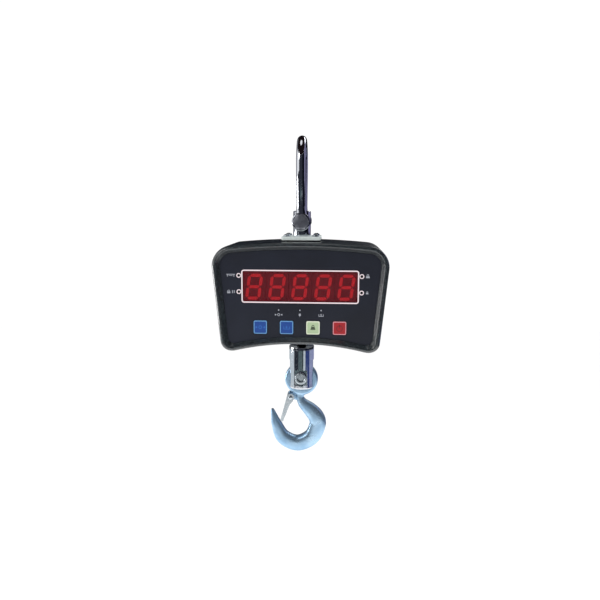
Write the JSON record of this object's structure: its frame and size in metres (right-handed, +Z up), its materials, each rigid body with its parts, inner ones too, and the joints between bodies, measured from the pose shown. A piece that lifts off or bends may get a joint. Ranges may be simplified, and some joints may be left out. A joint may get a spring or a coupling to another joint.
{
  "type": "crane scale",
  "caption": "Hanging crane scale: bow shackle, weighing case with red digit display and keys, swivelling clevis and eye hook with a safety latch.",
  "frame": {"origin": "point on the inside crown of the shackle's bow that bears on the crane hook", "axes": "+Z up along the load line, -Y the way the display faces, +X to the right as the display is read"},
  "size_m": [0.2396, 0.1068, 0.4559],
  "materials": {
    "bright_chrome": "polished",
    "plain_steel": "satin",
    "bright_zinc": "satin",
    "painted_casting": "matte",
    "face_panel": "satin",
    "red_window": "gloss",
    "digit_module": "satin",
    "lamp_lens": "gloss",
    "blue_key": "satin",
    "green_key": "satin",
    "red_key": "satin",
    "circuit_board": "satin",
    "black_plastic": "matte",
    "seal_rubber": "matte",
    "cage_brass": "satin"
  },
  "bodies": {
    "shackle": {"shackle": "bright_chrome", "shackle_bolt": "plain_steel", "shackle_nut": "plain_steel"},
    "scale_body": {"post": "bright_chrome", "post_lock_nut": "plain_steel", "top_gasket": "seal_rubber", "top_plate": "bright_zinc", "plate_screw_1": "bright_zinc", "plate_screw_2": "bright_zinc", "plate_screw_3": "bright_zinc", "plate_screw_4": "bright_zinc", "front_housing": "painted_casting", "rear_cover": "painted_casting", "case_seal": "seal_rubber", "case_screw_1": "bright_zinc", "case_screw_2": "bright_zinc", "case_screw_3": "bright_zinc", "case_screw_4": "bright_zinc", "case_screw_5": "bright_zinc", "case_screw_6": "bright_zinc", "battery": "black_plastic", "battery_cover": "painted_casting", "battery_cover_screw_1": "bright_zinc", "battery_cover_screw_2": "bright_zinc", "dc_socket": "black_plastic", "front_panel": "face_panel", "display_window": "red_window", "display_board": "circuit_board", "digit_1": "digit_module", "digit_2": "digit_module", "digit_3": "digit_module", "digit_4": "digit_module", "digit_5": "digit_module", "lamp_left_upper": "lamp_lens", "lamp_left_lower": "lamp_lens", "lamp_right_upper": "lamp_lens", "lamp_right_lower": "lamp_lens", "lamp_small_left": "lamp_lens", "lamp_small_middle": "lamp_lens", "lamp_small_right": "lamp_lens", "load_cell": "plain_steel", "main_board": "circuit_board", "buzzer": "black_plastic", "swivel_stud": "plain_steel", "stud_lock_nut": "plain_steel", "thrust_washer_lower": "plain_steel"},
    "ball_cage": {"ball_cage": "cage_brass"},
    "clevis": {"clevis": "bright_chrome", "swivel_cap": "bright_chrome", "thrust_washer_upper": "plain_steel", "clevis_bolt": "plain_steel", "clevis_nut": "plain_steel"},
    "hook": {"hook": "bright_zinc", "latch_pin": "bright_zinc"},
    "latch": {"latch": "bright_zinc", "latch_spring": "plain_steel"},
    "key_zero": {"key_zero": "blue_key"},
    "key_tare": {"key_tare": "blue_key"},
    "key_hold": {"key_hold": "green_key"},
    "key_power": {"key_power": "red_key"}
  },
  "joints": [
    {"name": "shackle_pivot", "type": "hinge", "parent": "shackle", "child": "scale_body", "pos_m": [0, 0, -0.104], "axis": [0, 1, 0], "range_deg": [-100, 100]},
    {"name": "hook_swivel", "type": "hinge", "parent": "scale_body", "child": "clevis", "pos_m": [0, 0, -0.3271], "axis": [0, 0, 1], "continuous": true},
    {"name": "cage_turn", "type": "hinge", "parent": "scale_body", "child": "ball_cage", "pos_m": [0, 0, -0.2929], "axis": [0, 0, 1], "continuous": true},
    {"name": "hook_pivot", "type": "hinge", "parent": "clevis", "child": "hook", "pos_m": [0, 0, -0.3271], "axis": [0, 1, 0], "range_deg": [-60, 60]},
    {"name": "latch_pivot", "type": "hinge", "parent": "hook", "child": "latch", "pos_m": [-0.0156, 0, -0.3592], "axis": [0, -1, 0], "range_deg": [0, 40], "stiffness_Nm_per_rad": 0.05, "springref_deg": -28.65},
    {"name": "press_zero", "type": "slide", "parent": "scale_body", "child": "key_zero", "axis": [0, 1, 0], "range_m": [0, 0.0007], "stiffness_N_per_m": 1500, "springref_m": -0.0005},
    {"name": "press_tare", "type": "slide", "parent": "scale_body", "child": "key_tare", "axis": [0, 1, 0], "range_m": [0, 0.0007], "stiffness_N_per_m": 1500, "springref_m": -0.0005},
    {"name": "press_hold", "type": "slide", "parent": "scale_body", "child": "key_hold", "axis": [0, 1, 0], "range_m": [0, 0.0007], "stiffness_N_per_m": 1500, "springref_m": -0.0005},
    {"name": "press_power", "type": "slide", "parent": "scale_body", "child": "key_power", "axis": [0, 1, 0], "range_m": [0, 0.0007], "stiffness_N_per_m": 1500, "springref_m": -0.0005}
  ],
  "couplings": [
    {"joint": "cage_turn", "follows": "hook_swivel", "ratio": 0.5}
  ]
}
